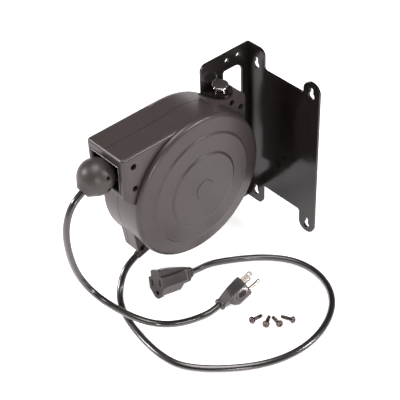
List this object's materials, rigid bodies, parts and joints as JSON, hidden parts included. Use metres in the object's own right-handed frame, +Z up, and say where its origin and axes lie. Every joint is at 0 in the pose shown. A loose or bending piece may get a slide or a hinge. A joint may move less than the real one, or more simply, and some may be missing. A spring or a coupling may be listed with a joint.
{
  "type": "wall-mounted retractable extension cord reel",
  "caption": "Closed spring-return cord reel with a dished round cover, swivelling on a folded steel wall bracket, with a ball-stopped cord, plug and connector.",
  "frame": {"origin": "centre of the four keyholes' rectangle, on the back face of the wall plate", "axes": "+Y into the wall, the cord leaves towards -Y, the round cover faces +X, +Z up"},
  "size_m": [0.2532, 0.2919, 0.241],
  "materials": {
    "black_steel": "gloss",
    "chrome_steel": "gloss",
    "cap_plastic": "matte",
    "nylon": "matte",
    "shell_plastic": "satin",
    "guide_plastic": "satin",
    "drum_plastic": "satin",
    "screw_steel": "satin",
    "bright_steel": "satin",
    "spring_steel": "satin",
    "bronze": "satin",
    "brass": "satin",
    "copper": "gloss",
    "carbon": "matte",
    "phenolic": "satin",
    "rubber_cord": "satin",
    "moulded_vinyl": "satin",
    "nickel": "gloss"
  },
  "bodies": {
    "bracket": {"wall_bracket": "black_steel", "upper_pivot_pin": "chrome_steel", "lower_pivot_pin": "chrome_steel", "upper_pin_cap": "cap_plastic", "lower_pin_cap": "cap_plastic", "thrust_washers": "nylon"},
    "reel": {"right_shell": "shell_plastic", "left_shell": "shell_plastic", "hub_cap": "shell_plastic", "housing_screws": "screw_steel", "pivot_bushes": "bronze", "axle": "bright_steel", "axle_bolts": "screw_steel", "spring_arbor": "bright_steel", "brush_holder": "phenolic", "carbon_brushes": "carbon", "brush_springs": "brass", "pawl_pin": "bright_steel", "pawl_spring": "spring_steel", "guide_frame": "guide_plastic", "guide_screws": "screw_steel", "roller_pins": "bright_steel", "ball_stop_right": "shell_plastic", "ball_stop_left": "shell_plastic", "ball_stop_screws": "screw_steel", "cord_feed": "rubber_cord", "lead_strain_relief": "moulded_vinyl", "power_lead": "rubber_cord", "cord_tail": "rubber_cord", "plug_body": "moulded_vinyl", "plug_blades": "nickel", "plug_ground_pin": "nickel", "connector_body": "moulded_vinyl", "connector_contacts": "brass", "mounting_screws": "screw_steel"},
    "drum": {"spool_right": "drum_plastic", "spool_left": "drum_plastic", "spool_screws": "screw_steel", "hub_bushes": "bronze", "spring_case": "bright_steel", "spring_cover": "bright_steel", "power_spring": "spring_steel", "wound_cord": "rubber_cord", "slip_ring_carrier": "phenolic", "slip_rings": "copper", "ratchet_ring": "bright_steel"},
    "pawl": {"ratchet_pawl": "bright_steel"},
    "guide_top": {"top_roller": "guide_plastic"},
    "guide_bottom": {"bottom_roller": "guide_plastic"},
    "guide_left": {"left_roller": "guide_plastic"},
    "guide_right": {"right_roller": "guide_plastic"}
  },
  "joints": [
    {"name": "reel_swivel", "type": "hinge", "parent": "bracket", "child": "reel", "pos_m": [-0.048, -0.057, 0], "axis": [0, 0, 1], "range_deg": [-75, 45]},
    {"name": "drum_spin", "type": "hinge", "parent": "reel", "child": "drum", "pos_m": [-0.048, -0.125, 0], "axis": [1, 0, 0], "range_deg": [0, 7920], "stiffness_Nm_per_rad": 0.005, "springref_deg": -3437.75},
    {"name": "pawl_pivot", "type": "hinge", "parent": "reel", "child": "pawl", "pos_m": [-0.0697, -0.107, -0.0745], "axis": [-1, 0, 0], "range_deg": [0, 21]},
    {"name": "top_roller_spin", "type": "hinge", "parent": "reel", "child": "guide_top", "pos_m": [-0.048, -0.21728, 0.07], "axis": [1, 0, 0], "continuous": true},
    {"name": "bottom_roller_spin", "type": "hinge", "parent": "reel", "child": "guide_bottom", "pos_m": [-0.048, -0.21728, 0.049], "axis": [1, 0, 0], "continuous": true},
    {"name": "left_roller_spin", "type": "hinge", "parent": "reel", "child": "guide_left", "pos_m": [-0.0585, -0.20528, 0.0595], "axis": [0, 0, 1], "continuous": true},
    {"name": "right_roller_spin", "type": "hinge", "parent": "reel", "child": "guide_right", "pos_m": [-0.0375, -0.20528, 0.0595], "axis": [0, 0, 1], "continuous": true}
  ]
}
